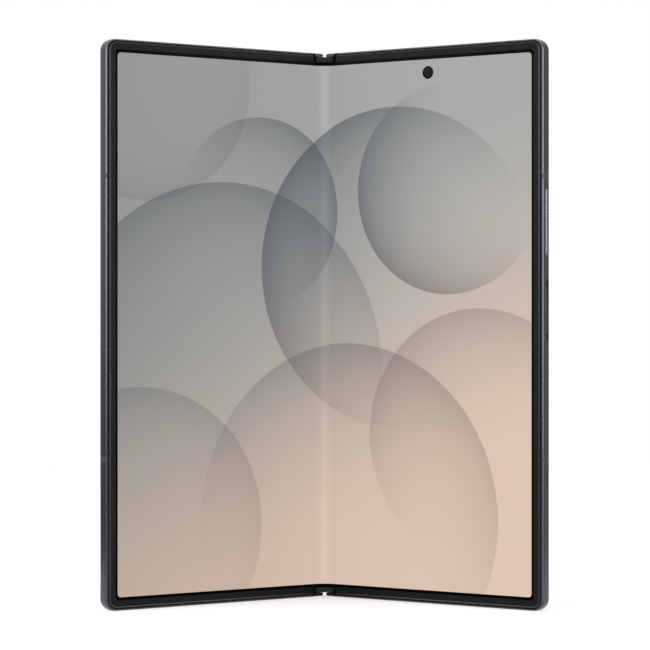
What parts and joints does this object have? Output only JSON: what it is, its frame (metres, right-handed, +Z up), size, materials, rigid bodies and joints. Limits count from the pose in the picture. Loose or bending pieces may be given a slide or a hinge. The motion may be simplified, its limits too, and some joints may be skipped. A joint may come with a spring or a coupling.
{
  "type": "foldable smartphone",
  "caption": "Book-style folding phone, half open, with two screen halves on a geared twin-axis hinge, side keys, card tray and rear cameras.",
  "frame": {"origin": "middle of the footprint, on the surface that the phone stands on", "axes": "+Z up along the fold, -Y the side that the open screen faces, +X to the half with the keys"},
  "size_m": [0.1246, 0.0419, 0.1587],
  "materials": {
    "frame_metal": "satin anodised",
    "key_metal": "satin anodised",
    "island_metal": "satin anodised",
    "bezel_polymer": "matt",
    "screen": "lit flexible display, smooth",
    "break_polymer": "matt",
    "steel": "brushed",
    "cap_polymer": "matt",
    "bronze": "turned",
    "copper_foil": "foil",
    "cell_pouch": "laminated pouch",
    "board": "solder mask",
    "module_black": "matt",
    "cover_glass_black": "polished",
    "back_glass_frost": "frosted",
    "lens_glass": "coated, polished",
    "flash_lens": "ribbed",
    "magnet": "plated"
  },
  "bodies": {
    "hinge": {"hinge_cover": "frame_metal", "hinge_end_caps": "cap_polymer", "hinge_carriers": "steel", "hinge_pins": "steel", "friction_sleeves": "bronze", "display_fold": "screen", "hinge_flex": "copper_foil"},
    "left_half": {"left_frame": "frame_metal", "left_bezel": "bezel_polymer", "left_display": "screen", "left_support_plate": "steel", "left_hinge_arms": "steel", "left_arm_screws": "steel", "left_sync_gears": "bronze", "left_battery": "cell_pouch", "left_board": "board", "left_board_shield": "steel", "cover_glass": "cover_glass_black", "cover_display": "cover_glass_black", "cover_camera": "module_black", "earpiece_speaker": "module_black", "vibration_motor": "steel", "left_antenna_breaks": "break_polymer", "left_magnets": "magnet", "card_socket": "steel", "left_microphone": "module_black"},
    "right_half": {"right_frame": "frame_metal", "right_bezel": "bezel_polymer", "right_display": "screen", "right_support_plate": "steel", "right_hinge_arms": "steel", "right_arm_screws": "steel", "right_sync_gears": "bronze", "right_battery": "cell_pouch", "main_board": "board", "main_board_shields": "steel", "back_glass": "back_glass_frost", "camera_island": "island_metal", "camera_lens_rings": "island_metal", "camera_lens_glasses": "lens_glass", "camera_modules": "module_black", "flash_led": "flash_lens", "inner_camera": "module_black", "charging_coil": "copper_foil", "usb_port": "steel", "usb_board": "board", "loudspeaker": "module_black", "right_antenna_breaks": "break_polymer", "right_magnets": "magnet", "key_flex": "copper_foil", "key_switches": "steel", "right_microphones": "module_black"},
    "left_idler": {"left_idler_gears": "bronze"},
    "right_idler": {"right_idler_gears": "bronze"},
    "volume_rocker": {"volume_rocker": "key_metal"},
    "power_key": {"power_key": "key_metal", "fingerprint_sensor": "module_black"},
    "sim_tray": {"sim_tray": "frame_metal"}
  },
  "joints": [
    {"name": "right_fold", "type": "hinge", "parent": "hinge", "child": "right_half", "pos_m": [0.00185, 0.01805, 0], "axis": [0, 0, 1], "range_deg": [-57.5, 32.5], "deforming": ["display_fold", "hinge_flex"]},
    {"name": "left_fold", "type": "hinge", "parent": "hinge", "child": "left_half", "pos_m": [-0.00185, 0.01805, 0], "axis": [0, 0, 1], "range_deg": [-32.5, 57.5], "deforming": ["display_fold", "hinge_flex"]},
    {"name": "right_idler_turn", "type": "hinge", "parent": "hinge", "child": "right_idler", "pos_m": [0.00065, 0.01855, 0], "axis": [0, 0, 1], "range_deg": [-32.5, 57.5]},
    {"name": "left_idler_turn", "type": "hinge", "parent": "hinge", "child": "left_idler", "pos_m": [-0.00065, 0.01855, 0], "axis": [0, 0, 1], "range_deg": [-57.5, 32.5]},
    {"name": "volume_tip", "type": "hinge", "parent": "right_half", "child": "volume_rocker", "pos_m": [0.06075, -0.01876, 0.10775], "axis": [0.5373, 0.8434, 0], "range_deg": [-0.8, 0.8], "stiffness_Nm_per_rad": 0.5},
    {"name": "power_press", "type": "slide", "parent": "right_half", "child": "power_key", "axis": [-0.8434, 0.5373, 0], "range_m": [0, 0.0002], "stiffness_N_per_m": 2000, "springref_m": -0.0001},
    {"name": "sim_tray_slide", "type": "slide", "parent": "left_half", "child": "sim_tray", "axis": [0, 0, 1], "range_m": [0, 0.018]}
  ],
  "couplings": [
    {"joint": "left_fold", "follows": "right_fold", "ratio": -1},
    {"joint": "right_idler_turn", "follows": "right_fold", "ratio": -1},
    {"joint": "left_idler_turn", "follows": "right_fold", "ratio": 1}
  ]
}
